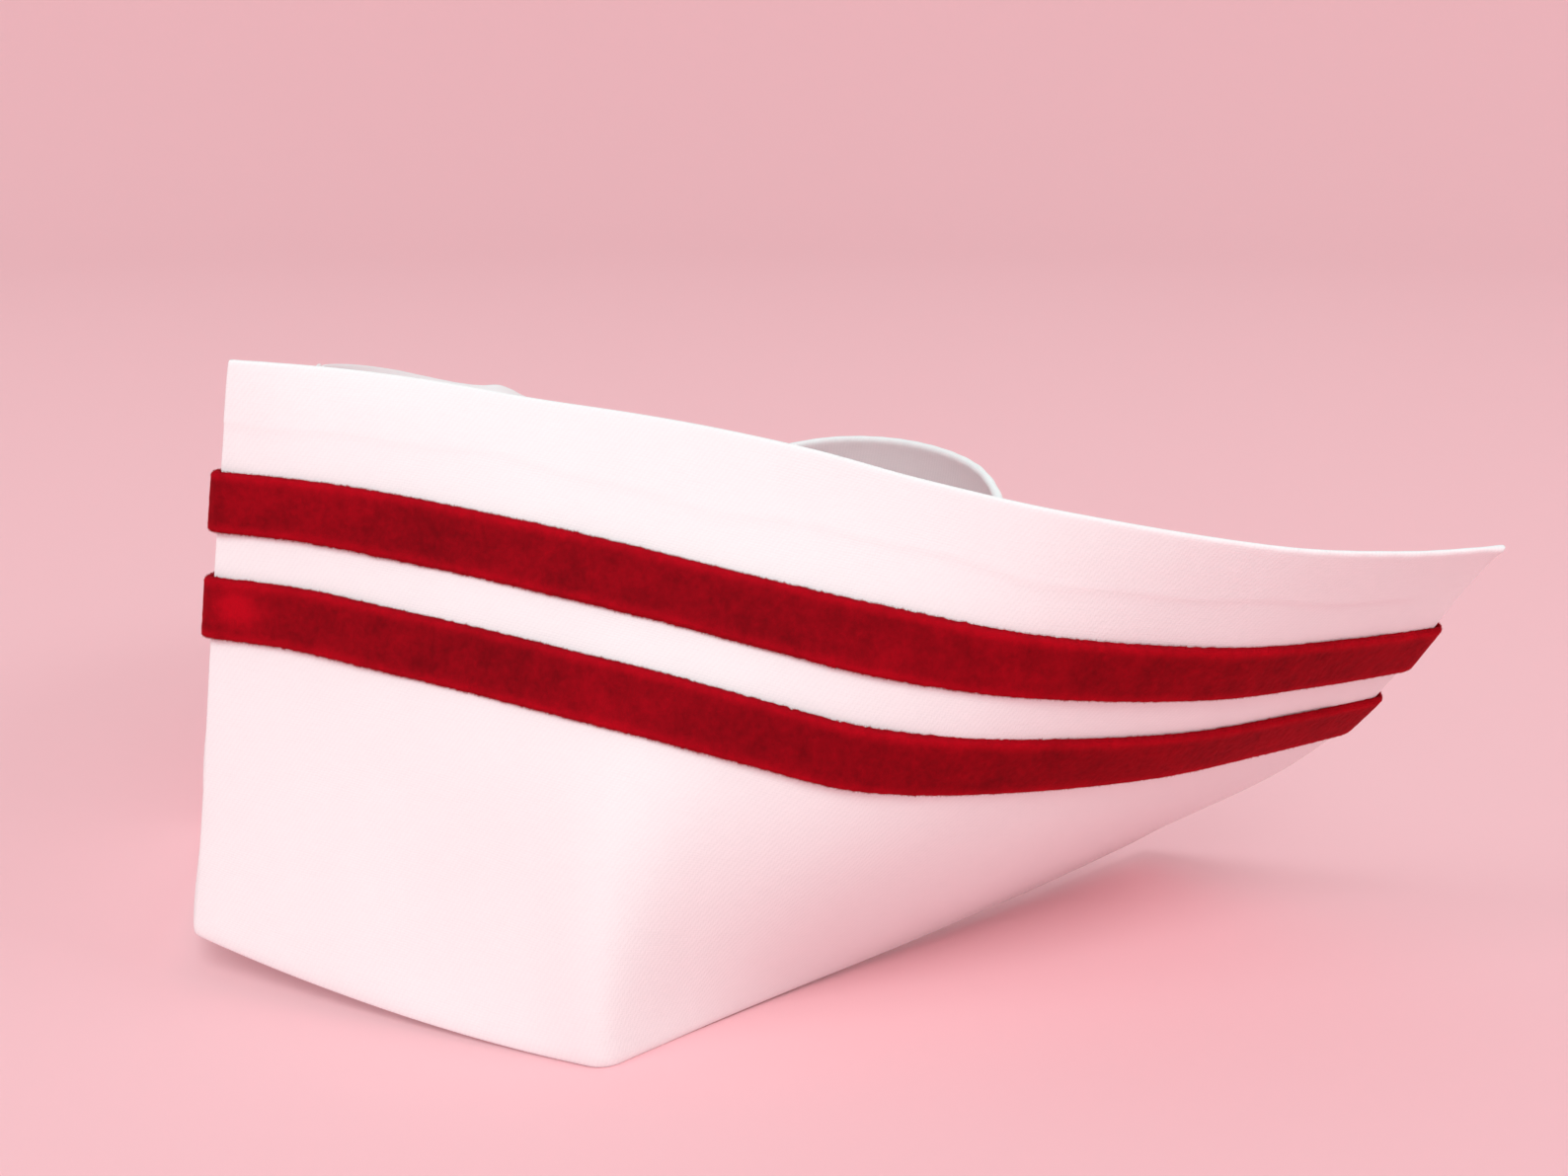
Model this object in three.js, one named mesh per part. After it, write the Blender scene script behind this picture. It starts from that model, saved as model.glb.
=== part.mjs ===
// Nurse cap: folded cotton cuff with two velvet ribbons and a crown wall behind.
// Millimetres, +Z up. The centre-front crease faces -Y and lies in the plane X = 0, about
// which the two halves mirror each other, but for a slight slump of the left one.
// "across" is measured from the middle, "back" from a line in front of the cap,
// "up" from the table, "along" on the cuff from the crease, "down" from its upper edge.
import * as THREE from "three";

// Driving sizes
const CUFF_HEIGHT = 92;
const CUFF_HALF_LENGTH = 195.5;
const CLOTH = 1.2;
const RIBBON_WIDTH = 9.5;
const RIBBON_PILE = 0.8;
const RIBBON_GAP = 0.3;
const UPPER_RIBBON_DOWN = 18;
const LOWER_RIBBON_DOWN = 34.5;
const RIBBON_TAIL = 12;
const DEPTH_MIDDLE = 96.25;

// Fold line: where the cuff turns up, seen from above
const CREASE_BACK = 11.5;
const CORNER_ALONG = 73;
const FRONT_TURN_START = 23;
const FRONT_TURN_END = 27.5;
const SIDE_RUN = 120.5;
const SIDE_TUCK = 3;
const SIDE_STEP_IN = 1;
const FRONT_LIFT = 7.2;
const FRONT_LIFT_TO = 80;
const WING_LIFT = 4.5;
const WING_LIFT_FROM = 98;

// Heights on the cloth, measured up from the fold line. The waist is the lower
// edge of the lower ribbon and the shoulder is the upper edge of the upper ribbon.
const KNEE_UP_CLOTH = 22;
const WAIST_UP_CLOTH = 48;
const SHOULDER_UP_CLOTH = 74;

// One row per section of the right half, front to back
// along | knee across, back, up | waist across, back, up
// | shoulder across, back, up | edge across, back, up
const CUFF_SECTIONS = [
  [0, 0, 15, 28.5, 0, 18.5, 54, 0, 22.5, 79, 0, 25, 95.5],
  [14, 12, 21, 27, 12, 26, 53, 11.5, 31, 78, 10, 35.5, 94.5],
  [28, 24.5, 27, 26, 24, 32.5, 51.5, 23, 39, 76.5, 21, 45, 93],
  [44, 38.5, 34, 24.5, 38, 39.5, 50, 37, 47.5, 74.5, 35, 54, 91],
  [60, 52.5, 40, 23, 52.5, 46, 48.5, 51, 55, 72.5, 49, 62.5, 89],
  [73, 64.5, 44.5, 22, 64, 52, 47, 62, 61.5, 70.5, 60.5, 68.5, 87.5],
  [87, 69.5, 57, 19.5, 75, 60, 44.5, 74, 68, 68.5, 73.5, 75, 85.5],
  [103, 74.5, 72, 17.5, 85, 72, 40.5, 87, 77, 66, 87.5, 82, 83],
  [123, 78, 91, 16, 92.5, 90, 38, 100.5, 91, 62.5, 103.5, 93, 79],
  [153, 81, 120.5, 16, 99, 119, 35.5, 111.5, 118.5, 58, 119, 118.5, 74.5],
  [195.5, 84, 162, 18, 104.5, 160.5, 35, 120, 159.5, 55.5, 130.5, 158.5, 70.5],
];

// How far the upper edge of the left half has slumped against the right half
// along | lower
const LEFT_SLUMP = [
  [0, 0],
  [30, 2],
  [73, 2.5],
  [103, 2.5],
  [136, 1],
  [160, 3.5],
  [183.5, 6.5],
  [195.5, 6],
];

// Crown wall, right half, from its front end to the middle of the back
// foot across, back | rim across, back, up
const CROWN_SECTIONS = [
  [62.5, 46, 61.5, 47, 8],
  [61, 80, 57, 82, 27],
  [61.2, 115, 53.5, 117, 44.5],
  [60.5, 142, 49, 141, 56.5],
  [52.5, 163, 38.5, 152.5, 62],
  [32.5, 176.5, 21, 161.5, 66.5],
  [0, 181, 0, 164.5, 68],
];
const CROWN_BOW = 3;
const CROWN_BACK_UP = 68;

// Steps of the facets
const CUFF_STEPS = [
  0, 5, 10, 16, 22, 28, 36, 44, 52, 60, 66, 70, 73, 76, 80, 85, 90, 96,
  103, 110, 118, 126, 136, 148, 160, 172, 183.5, 189.5, 195.5,
];
const CUFF_DROPS = [
  0, 9, 18, 22.75, 27.5, 31, 34.5, 39.25, 44, 53, 62, 70, 78, 85, 92,
];
const CROWN_COLUMNS = 20;
const CROWN_ROWS = 6;

const sub = (a, b) => [a[0] - b[0], a[1] - b[1], a[2] - b[2]];
const addScaled = (a, b, k) => [a[0] + b[0] * k, a[1] + b[1] * k, a[2] + b[2] * k];
const cross = (a, b) => [
  a[1] * b[2] - a[2] * b[1],
  a[2] * b[0] - a[0] * b[2],
  a[0] * b[1] - a[1] * b[0],
];
const unit = (a) => {
  const length = Math.hypot(a[0], a[1], a[2]);
  return [a[0] / length, a[1] / length, a[2] / length];
};

// Smooth curve through table rows, keyed by the first value of each row
function rowAt(rows, keys, key) {
  const last = keys.length - 1;
  let i = 0;
  while (i < last - 1 && key > keys[i + 1]) i += 1;
  const slope = (k, c) => {
    const a = Math.max(0, k - 1);
    const b = Math.min(last, k + 1);
    return (rows[b][c] - rows[a][c]) / (keys[b] - keys[a]);
  };
  const h = keys[i + 1] - keys[i];
  const u = (key - keys[i]) / h;
  const u2 = u * u;
  const u3 = u2 * u;
  return rows[i].map((value, c) => (
    (2 * u3 - 3 * u2 + 1) * value
    + (u3 - 2 * u2 + u) * h * slope(i, c)
    + (3 * u2 - 2 * u3) * rows[i + 1][c]
    + (u3 - u2) * h * slope(i + 1, c)
  ));
}

// Fold line
function frontFold(along) {
  const start = THREE.MathUtils.degToRad(FRONT_TURN_START);
  const turn = THREE.MathUtils.degToRad(FRONT_TURN_END - FRONT_TURN_START);
  const rate = turn / CORNER_ALONG;
  const heading = start + rate * along;
  return [
    (Math.sin(heading) - Math.sin(start)) / rate,
    CREASE_BACK + (Math.cos(start) - Math.cos(heading)) / rate,
  ];
}

function foldLift(along) {
  const front = Math.max(0, 1 - along / FRONT_LIFT_TO);
  const wing = Math.max(0, along - WING_LIFT_FROM) / (CUFF_HALF_LENGTH - WING_LIFT_FROM);
  return FRONT_LIFT * front ** 2 + WING_LIFT * wing ** 1.2;
}

function foldAt(along) {
  const front = frontFold(Math.min(along, CORNER_ALONG));
  const share = Math.max(0, along - CORNER_ALONG) / (CUFF_HALF_LENGTH - CORNER_ALONG);
  const tuck = SIDE_TUCK * Math.sin(Math.PI * share) * (1 - share);
  const stepIn = SIDE_STEP_IN * (1 - Math.max(0, 1 - 2.5 * share) ** 2);
  return [front[0] - tuck - stepIn, front[1] + SIDE_RUN * share, foldLift(along)];
}

// Outer face of the right half of the cuff
const CUFF_KEYS = CUFF_SECTIONS.map((row) => row[0]);

function cuffPoint(along, down) {
  const row = rowAt(CUFF_SECTIONS, CUFF_KEYS, along);
  const knots = [0, KNEE_UP_CLOTH, WAIST_UP_CLOTH, SHOULDER_UP_CLOTH, CUFF_HEIGHT];
  const points = [foldAt(along), ...[1, 4, 7, 10].map((c) => row.slice(c, c + 3))];
  const height = CUFF_HEIGHT - down;
  const out = [0, 0, 0];
  for (let j = 0; j < knots.length; j += 1) {
    let weight = 1;
    for (let m = 0; m < knots.length; m += 1) {
      if (m !== j) weight *= (height - knots[m]) / (knots[j] - knots[m]);
    }
    for (let c = 0; c < 3; c += 1) out[c] += weight * points[j][c];
  }
  return out;
}

function cuffAlong(along, down) {
  const a = Math.max(0, along - 0.5);
  const b = Math.min(CUFF_HALF_LENGTH, along + 0.5);
  return unit(sub(cuffPoint(b, down), cuffPoint(a, down)));
}

function cuffOut(along, down) {
  const a = Math.max(0, down - 0.5);
  const b = Math.min(CUFF_HEIGHT, down + 0.5);
  const drop = sub(cuffPoint(along, b), cuffPoint(along, a));
  return unit(cross(drop, cuffAlong(along, down)));
}

// A point some way off the outer face of the right half, kept in the mirror plane
// at the crease and level with the fold at the bottom edge
function cuffOffset(along, down, offset) {
  const point = cuffPoint(along, down);
  let normal = cuffOut(along, down);
  if (along === 0) {
    normal = [0, normal[1], normal[2]];
    const square = normal[1] ** 2 + normal[2] ** 2;
    normal = [0, normal[1] / square, normal[2] / square];
  }
  if (down === CUFF_HEIGHT) {
    const square = normal[0] ** 2 + normal[1] ** 2;
    normal = [normal[0] / square, normal[1] / square, 0];
  }
  return addScaled(point, normal, offset);
}

// Mesh helpers
const toFrame = (p) => [p[0], p[1] - DEPTH_MIDDLE, p[2]];

function meshFromRings(name, rings, material) {
  // rings: closed loops of points, one per step along the sweep
  const positions = [];
  const index = [];
  const count = rings[0].length;
  const half = count / 2;
  for (const ring of rings) {
    for (const point of ring) positions.push(...toFrame(point));
  }
  for (let r = 0; r + 1 < rings.length; r += 1) {
    for (let k = 0; k < count; k += 1) {
      const a = r * count + k;
      const b = r * count + ((k + 1) % count);
      // both faces are split along the same diagonal, so facing pieces keep their gap
      if (k < half) index.push(a, b, b + count, a, b + count, a + count);
      else index.push(a, b, a + count, b, b + count, a + count);
    }
  }
  const cap = (base, flip) => {
    // a ring runs down one face and up the other, so rungs join the two faces
    for (let k = 0; k + 1 < half; k += 1) {
      const a = base + k;
      const b = base + k + 1;
      const c = base + count - 2 - k;
      const d = base + count - 1 - k;
      if (flip) index.push(a, d, c, a, c, b);
      else index.push(a, b, c, a, c, d);
    }
  };
  cap(0, true);
  cap((rings.length - 1) * count, false);
  const geometry = new THREE.BufferGeometry();
  geometry.setAttribute("position", new THREE.Float32BufferAttribute(positions, 3));
  geometry.setIndex(index);
  geometry.computeVertexNormals();
  const mesh = new THREE.Mesh(geometry, material);
  mesh.name = name;
  return mesh;
}

const mirrored = (ring) => ring.map((p) => [-p[0], p[1], p[2]]);

// The left half of the cuff is the mirrored right half, slumped in step with its height
const SLUMP_KEYS = LEFT_SLUMP.map((row) => row[0]);

function slumped(ring, along) {
  const lower = rowAt(LEFT_SLUMP, SLUMP_KEYS, along)[1];
  return ring.map(([across, back, up]) => [-across, back, up * (1 - lower / CUFF_HEIGHT)]);
}

// Rings of the right half, from the crease outward, become the whole sweep
function bothHalves(rings, leftRing = mirrored) {
  const left = rings.slice(1).map((ring, i) => leftRing(ring, i + 1));
  return [...left.reverse(), ...rings];
}

const slumpedAt = (alongs) => (ring, i) => slumped(ring, alongs[i]);

function cuffRings() {
  return CUFF_STEPS.map((along) => {
    const outer = CUFF_DROPS.map((down) => cuffOffset(along, down, 0));
    const inner = CUFF_DROPS.map((down) => cuffOffset(along, down, -CLOTH));
    return [...outer, ...inner.reverse()];
  });
}

// Where on the cuff each ring of a ribbon lies: the outer face, the turn round
// the wing end, and the tail on the inner face
const RIBBON_TURNS = 3;
const RIBBON_TAIL_STEPS = [0, RIBBON_TAIL / 2, RIBBON_TAIL].map((back) => CUFF_HALF_LENGTH - back);
const RIBBON_ALONGS = [
  ...CUFF_STEPS,
  ...new Array(RIBBON_TURNS).fill(CUFF_HALF_LENGTH),
  ...RIBBON_TAIL_STEPS,
];

function ribbonRings(down) {
  const drops = [down, down + RIBBON_WIDTH / 2, down + RIBBON_WIDTH];
  const ring = (near, far) => [...drops.map(far), ...drops.map(near).reverse()];
  const near = RIBBON_GAP;
  const far = RIBBON_GAP + RIBBON_PILE;
  const rings = CUFF_STEPS.map((along) => ring(
    (drop) => cuffOffset(along, drop, near),
    (drop) => cuffOffset(along, drop, far),
  ));
  // Turn round the wing end: how far past the end, and how far off the outer face
  const slant = far * 0.75;
  const turns = [
    [near, near, slant, slant],
    [near, -CLOTH / 2, far, -CLOTH / 2],
    [near, -CLOTH - near, slant, -CLOTH - slant],
  ];
  const end = CUFF_HALF_LENGTH;
  const past = (drop, reach, offset) => addScaled(
    cuffOffset(end, drop, offset), cuffAlong(end, drop), reach,
  );
  for (const [nearReach, nearOff, farReach, farOff] of turns) {
    rings.push(ring(
      (drop) => past(drop, nearReach, nearOff),
      (drop) => past(drop, farReach, farOff),
    ));
  }
  for (const along of RIBBON_TAIL_STEPS) {
    rings.push(ring(
      (drop) => cuffOffset(along, drop, -CLOTH - near),
      (drop) => cuffOffset(along, drop, -CLOTH - far),
    ));
  }
  return rings;
}

// Crown wall
const CROWN_KEYS = CROWN_SECTIONS.map((row, i) => i);

function crownPoint(key, share) {
  const row = rowAt(CROWN_SECTIONS, CROWN_KEYS, key);
  const foot = [row[0], row[1], 0];
  const rim = [row[2], row[3], row[4]];
  const point = addScaled(foot, sub(rim, foot), share);
  const ahead = rowAt(CROWN_SECTIONS, CROWN_KEYS, Math.min(CROWN_KEYS.length - 1, key + 0.05));
  const behind = rowAt(CROWN_SECTIONS, CROWN_KEYS, Math.max(0, key - 0.05));
  const run = unit([ahead[0] - behind[0], ahead[1] - behind[1], 0]);
  const bow = CROWN_BOW * 4 * share * (1 - share) * (row[4] / CROWN_BACK_UP);
  return addScaled(point, [run[1], -run[0], 0], bow);
}

function crownRing(key) {
  const top = CROWN_KEYS.length - 1;
  const shares = Array.from({ length: CROWN_ROWS + 1 }, (_, i) => 1 - i / CROWN_ROWS);
  const outer = shares.map((share) => crownPoint(key, share));
  const inner = shares.map((share) => {
    const a = crownPoint(Math.min(top, key + 0.05), share);
    const b = crownPoint(Math.max(0, key - 0.05), share);
    const c = crownPoint(key, Math.min(1, share + 0.02));
    const d = crownPoint(key, Math.max(0, share - 0.02));
    let normal = unit(cross(sub(a, b), sub(c, d)));
    if (key === top) normal = unit([0, normal[1], normal[2]]);
    if (share === 0) {
      const square = normal[0] ** 2 + normal[1] ** 2;
      normal = [normal[0] / square, normal[1] / square, 0];
    }
    return addScaled(crownPoint(key, share), normal, -CLOTH);
  });
  return [...inner, ...outer.reverse()];
}

function crownRings() {
  const top = CROWN_KEYS.length - 1;
  const right = Array.from({ length: CROWN_COLUMNS + 1 }, (_, i) => (
    crownRing(top * (1 - i / CROWN_COLUMNS))
  ));
  return bothHalves(right);
}

// Materials and assembly
const cotton = new THREE.MeshStandardMaterial({ color: 0xf2f0ee, roughness: 0.9 });
cotton.name = "white cotton";
const velvet = new THREE.MeshStandardMaterial({ color: 0x8c0618, roughness: 0.85 });
velvet.name = "dark red velvet";

const group = new THREE.Group();
group.name = "nurse_cap";
group.add(meshFromRings("cuff", bothHalves(cuffRings(), slumpedAt(CUFF_STEPS)), cotton));
group.add(meshFromRings("crown", crownRings(), cotton));
for (const [name, down] of [["upper_ribbon", UPPER_RIBBON_DOWN], ["lower_ribbon", LOWER_RIBBON_DOWN]]) {
  group.add(meshFromRings(name, bothHalves(ribbonRings(down), slumpedAt(RIBBON_ALONGS)), velvet));
}

export default group;
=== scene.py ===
# %% [markdown]
# A nurse cap of stiff white cotton. The real one is a long doubled band that is folded sharp at
# the centre front, turned up as a cuff and left to flare out into two wings. Two velvet ribbons
# are sewn round the cuff, and a curved wall behind it holds the crown of the head. Each piece is
# built here as a smooth sheet of cloth from a few measured sections, to the size of the plain
# solids that this scene loads first.

import bmesh
import bpy
import numpy as np
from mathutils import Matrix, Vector


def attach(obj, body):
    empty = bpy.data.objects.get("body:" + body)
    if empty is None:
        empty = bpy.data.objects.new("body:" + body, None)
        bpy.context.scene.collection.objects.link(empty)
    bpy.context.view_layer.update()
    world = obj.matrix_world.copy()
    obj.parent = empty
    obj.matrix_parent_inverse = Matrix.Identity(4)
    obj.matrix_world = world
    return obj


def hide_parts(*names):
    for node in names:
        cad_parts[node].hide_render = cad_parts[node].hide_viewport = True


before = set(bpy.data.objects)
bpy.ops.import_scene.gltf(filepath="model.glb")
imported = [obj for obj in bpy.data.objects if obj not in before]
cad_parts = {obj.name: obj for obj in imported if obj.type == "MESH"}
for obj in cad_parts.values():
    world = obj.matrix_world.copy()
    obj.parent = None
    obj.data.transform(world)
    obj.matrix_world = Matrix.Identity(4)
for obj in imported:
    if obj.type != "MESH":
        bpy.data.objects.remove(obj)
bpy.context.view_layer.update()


def placed(name, data):
    """A new object in the scene that holds a mesh, a lens or a lamp."""
    made = bpy.data.objects.new(name, data)
    bpy.context.scene.collection.objects.link(made)
    return made


MM = 0.001
print("pieces in the frame:", sorted(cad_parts))

# %% [markdown]
# The camera comes first. A standard lens stands 13 centimetres above the table, in front of
# the cap and to its side, close enough that the near wing looks larger than the far one. Its
# place and angle are those from which the cap's outline matches the photograph.

# %% The camera
CAMERA_ACROSS = 266.9 * MM
CAMERA_BACK = -191.45 * MM
CAMERA_UP = 131.1 * MM
CAMERA_HEADING = np.radians(49.6)
CAMERA_PITCH = np.radians(14.1)
SENSOR_WIDTH = 36.0
FOCAL_LENGTH = 43.61
NEAREST_SEEN = 10 * MM

lens = bpy.data.cameras.new("camera")
lens.sensor_width = SENSOR_WIDTH
lens.lens = FOCAL_LENGTH
lens.clip_start = NEAREST_SEEN
camera = placed("camera", lens)
camera.location = (CAMERA_ACROSS, CAMERA_BACK, CAMERA_UP)
camera.rotation_euler = (np.pi / 2 - CAMERA_PITCH, 0, CAMERA_HEADING)
bpy.context.scene.camera = camera
print("camera at", tuple(round(value, 3) for value in camera.location))

# %% [markdown]
# Stiff cloth bends but hardly stretches, so the cuff is drawn as a tailor would measure it. A
# place on it has two numbers: how far along the cloth from the centre-front crease, and how far
# down from the upper edge. The table gives the right half at a few distances along, each with
# four heights on the cloth, and smooth curves run between them. All of it is in millimetres:
# across from the middle, back from a line in front of the cap, and up from the table. The left
# half mirrors it, with an upper edge that has slumped by a few millimetres and most at its tip.

# %% Sizes of the cuff
CUFF_HEIGHT = 92.0
CUFF_HALF_LENGTH = 195.5
CLOTH = 1.2
DEPTH_MIDDLE = 96.25

CREASE_BACK = 11.5
CORNER_ALONG = 73.0
FRONT_TURN_START = np.radians(23.0)
FRONT_TURN_END = np.radians(27.5)
SIDE_RUN = 120.5
SIDE_TUCK = 1.5
SIDE_STEP_IN = 1.0
STEP_IN_RATE = 2.5
FRONT_LIFT = 7.2
FRONT_LIFT_TO = 80.0
WING_LIFT = 4.5
WING_LIFT_FROM = 98.0
WING_LIFT_POWER = 2.0

# up the cloth from the fold line: fold, knee, waist, shoulder, upper edge
HEIGHTS_ON_CLOTH = [0.0, 22.0, 48.0, 74.0, CUFF_HEIGHT]

# along | knee across, back, up | waist across, back, up
# | shoulder across, back, up | edge across, back, up
CUFF_SECTIONS = np.array([
    [0, 0, 14.7, 28.5, 0, 17.9, 54, 0, 21.4, 79, 0, 23.7, 95.5],
    [14, 12, 21, 27, 12, 26, 53, 11.5, 30.7, 78, 10, 35.1, 94.5],
    [28, 24.5, 27, 26, 24, 32.5, 51.5, 23, 39, 76.5, 21, 45, 93],
    [44, 38.5, 34, 24.5, 38, 39.5, 50, 37, 47.5, 74.5, 35, 54, 91],
    [60, 52.5, 40, 23, 52.5, 46, 48.5, 51, 55, 72.5, 49, 62.5, 89.5],
    [73, 64.5, 44.5, 22, 64, 52, 47, 62, 61.5, 70.5, 60.5, 68.5, 88.1],
    [87, 69.5, 57, 19.5, 75, 60, 44.5, 74, 68, 68.5, 73.5, 75, 86],
    [103, 74.5, 72, 17.5, 85, 72, 40.5, 87, 77, 66, 87.5, 82, 83],
    [123, 78, 91, 16, 92.5, 90, 38, 100.5, 91, 62.5, 103.5, 93, 79.5],
    [153, 81, 120.5, 16, 99, 119, 35.5, 111.5, 118.5, 58, 119.5, 118.5, 73.5],
    [176, 82.7, 143, 17, 102, 141.5, 35, 116.5, 140.5, 56.3, 126.2, 140, 70.6],
    [195.5, 84, 162, 18, 104.5, 160.5, 35, 120, 159.5, 55.5, 130.5, 158.5, 69.4],
])

# along | how far the left half's upper edge has slumped
LEFT_SLUMP = np.array([
    [0, 0], [30, 2.2], [73, 2.9], [103, 2.4], [118, 1.2], [136, 0],
    [150, 0.2], [160, 1.4], [172, 3.6], [180, 4.7], [187, 5.3], [195.5, 10],
])
print("flat cuff:", 2 * CUFF_HALF_LENGTH, "by", CUFF_HEIGHT, "mm")


# %% Smooth curves through a table
def rows_at(table, key):
    """The table's row at each key, on a smooth curve through its rows."""
    keys = table[:, 0]
    slope = np.empty_like(table, dtype=float)
    slope[1:-1] = (table[2:] - table[:-2]) / (keys[2:] - keys[:-2])[:, None]
    slope[0] = (table[1] - table[0]) / (keys[1] - keys[0])
    slope[-1] = (table[-1] - table[-2]) / (keys[-1] - keys[-2])
    i = np.clip(np.searchsorted(keys, key) - 1, 0, len(keys) - 2)
    step = (keys[i + 1] - keys[i])[:, None]
    u = (key - keys[i])[:, None] / step
    return (
        (2 * u**3 - 3 * u**2 + 1) * table[i]
        + (u**3 - 2 * u**2 + u) * step * slope[i]
        + (3 * u**2 - 2 * u**3) * table[i + 1]
        + (u**3 - u**2) * step * slope[i + 1]
    )


def stacked(*columns):
    """Equal arrays side by side as points."""
    return np.stack(columns, axis=-1)


# %% [markdown]
# The fold line is where the cuff turns up. It runs back from the crease almost straight to a
# corner, then along the side of the head, and it rocks a few millimetres clear of the table
# at the crease and at the wing ends. The crease itself is pressed, so it turns over about a
# millimetre rather than in a knife edge.

# %% The cuff's outer face
CREASE_ROUNDING = 0.7
CORNER_ROUNDING = 3.0
CORNER_PLACES = 9


def pressed_fold(along):
    """Where the cuff would turn up if its corners were pressed sharp, for the right half."""
    rate = (FRONT_TURN_END - FRONT_TURN_START) / CORNER_ALONG
    heading = FRONT_TURN_START + rate * np.minimum(along, CORNER_ALONG)
    across = (np.sin(heading) - np.sin(FRONT_TURN_START)) / rate
    back = CREASE_BACK + (np.cos(FRONT_TURN_START) - np.cos(heading)) / rate
    share = np.maximum(0, along - CORNER_ALONG) / (CUFF_HALF_LENGTH - CORNER_ALONG)
    tuck = SIDE_TUCK * np.sin(np.pi * share) * (1 - share)
    step_in = SIDE_STEP_IN * (1 - np.maximum(0, 1 - STEP_IN_RATE * share) ** 2)
    front = np.maximum(0, 1 - along / FRONT_LIFT_TO)
    wing = np.maximum(0, along - WING_LIFT_FROM) / (CUFF_HALF_LENGTH - WING_LIFT_FROM)
    up = FRONT_LIFT * front**2 + WING_LIFT * wing**WING_LIFT_POWER
    return stacked(across - tuck - step_in, back + SIDE_RUN * share, up)


def fold_line(along):
    """The fold with blunt corners: each point is the mean of its neighbourhood."""
    spread = np.clip(np.minimum(along, CUFF_HALF_LENGTH - along), 0, CORNER_ROUNDING)
    offsets = np.linspace(-1, 1, CORNER_PLACES)
    return np.mean([pressed_fold(along + spread * offset) for offset in offsets], axis=0)


def cuff_face(signed, down):
    """Points of the outer face: signed is the distance along, negative on the left half.

    Down is one list for every column of points, or a table with its own row for each.
    """
    along = np.abs(signed)
    row = rows_at(CUFF_SECTIONS, along)
    levels = [fold_line(along)] + [row[:, c:c + 3] for c in (1, 4, 7, 10)]
    height = CUFF_HEIGHT - np.atleast_2d(down)
    points = 0
    for j, level in enumerate(levels):
        others = [k for m, k in enumerate(HEIGHTS_ON_CLOTH) if m != j]
        weight = np.prod([(height - k) / (HEIGHTS_ON_CLOTH[j] - k) for k in others], axis=0)
        points = points + weight[..., None] * level[:, None, :]
    blunt = np.tan(FRONT_TURN_START) * (np.hypot(along, CREASE_ROUNDING) - along)
    points[..., 1] += blunt[:, None] - DEPTH_MIDDLE
    left = signed < 0
    lower = rows_at(LEFT_SLUMP, along)[:, 1] / CUFF_HEIGHT
    points[left, :, 2] *= 1 - lower[left, None]
    points[left, :, 0] *= -1
    return points


def unit(vectors):
    """The same directions, one long."""
    return vectors / np.maximum(np.linalg.norm(vectors, axis=-1, keepdims=True), 1e-12)


def outward(points):
    """The direction away from the head at each point of a grid (along, down)."""
    down_cloth = np.gradient(points, axis=1)
    along_cloth = np.gradient(points, axis=0)
    return unit(np.cross(down_cloth, along_cloth))


# %% [markdown]
# A sheet needs thickness and soft edges, or it looks like card. Solidify gives square edges,
# so the wall is made directly: two copies of the grid stand half a thickness to each side of
# the middle of the cloth, and they close on each other in a round at the edges. The spacing of
# the grid is close near the edges, where the round is, and wide over the plain cloth.

# %% Grids and walls
EDGE_STEPS = [0, 0.05, 0.18, 0.4, 0.7, 1.05, 1.5, 2.2]
RIDGE_STEPS = [-1, -0.5, 0, 0.5, 1]
SAME_POINT = 1e-7


def spaced(length, step, start=EDGE_STEPS, end=EDGE_STEPS, extra=()):
    """Distances from 0 to length: close at both ends and round each extra place."""
    plain = np.arange(start[-1] + step, length - end[-1] - step / 2, step)
    near = [place + offset for place in extra for offset in RIDGE_STEPS]
    every = np.concatenate([start, plain, near, length - np.array(end)])
    return np.unique(np.round(every, 3))


def rounded_edge(distance, radius):
    """Share of the full thickness at some distance from a round edge."""
    return np.sqrt(1 - (1 - np.clip(distance / radius, 0, 1)) ** 2)


def grid_faces(columns, rows, first=0, flip=False):
    """Quads of a grid of points whose rows run fastest."""
    i, j = np.meshgrid(np.arange(columns - 1), np.arange(rows - 1), indexing="ij")
    a = (first + i * rows + j).ravel()
    quads = np.stack([a, a + 1, a + rows + 1, a + rows], axis=1)
    return quads[:, ::-1] if flip else quads


def weld(mesh, distance):
    """Joins points of a mesh that coincide and leaves it smooth."""
    joined = bmesh.new()
    joined.from_mesh(mesh)
    bmesh.ops.remove_doubles(joined, verts=joined.verts, dist=distance)
    bmesh.ops.dissolve_degenerate(joined, edges=joined.edges, dist=distance)
    joined.to_mesh(mesh)
    joined.free()
    mesh.shade_smooth()


def count_triangles(piece):
    """Prints how many triangles a piece has."""
    print(piece.name, "has", sum(len(face.vertices) - 2 for face in piece.data.polygons), "triangles")


def wall(name, outer, inner, place, material):
    """A closed wall from two grids that meet at their edges; place is the cloth's own map."""
    columns, rows = outer.shape[:2]
    count = columns * rows
    points = np.concatenate([outer.reshape(-1, 3), inner.reshape(-1, 3)]) * MM
    faces = np.concatenate([
        grid_faces(columns, rows),
        grid_faces(columns, rows, first=count, flip=True),
    ])
    mesh = bpy.data.meshes.new(name)
    mesh.from_pydata(points.tolist(), [], faces.tolist())
    chart = np.tile(place.reshape(-1, 2), (2, 1)) * MM
    mesh.uv_layers.new(name="cloth").data.foreach_set("uv", chart[faces.ravel()].ravel())
    weld(mesh, SAME_POINT)
    mesh.materials.append(material)
    piece = placed(name, mesh)
    count_triangles(piece)
    return piece


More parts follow.
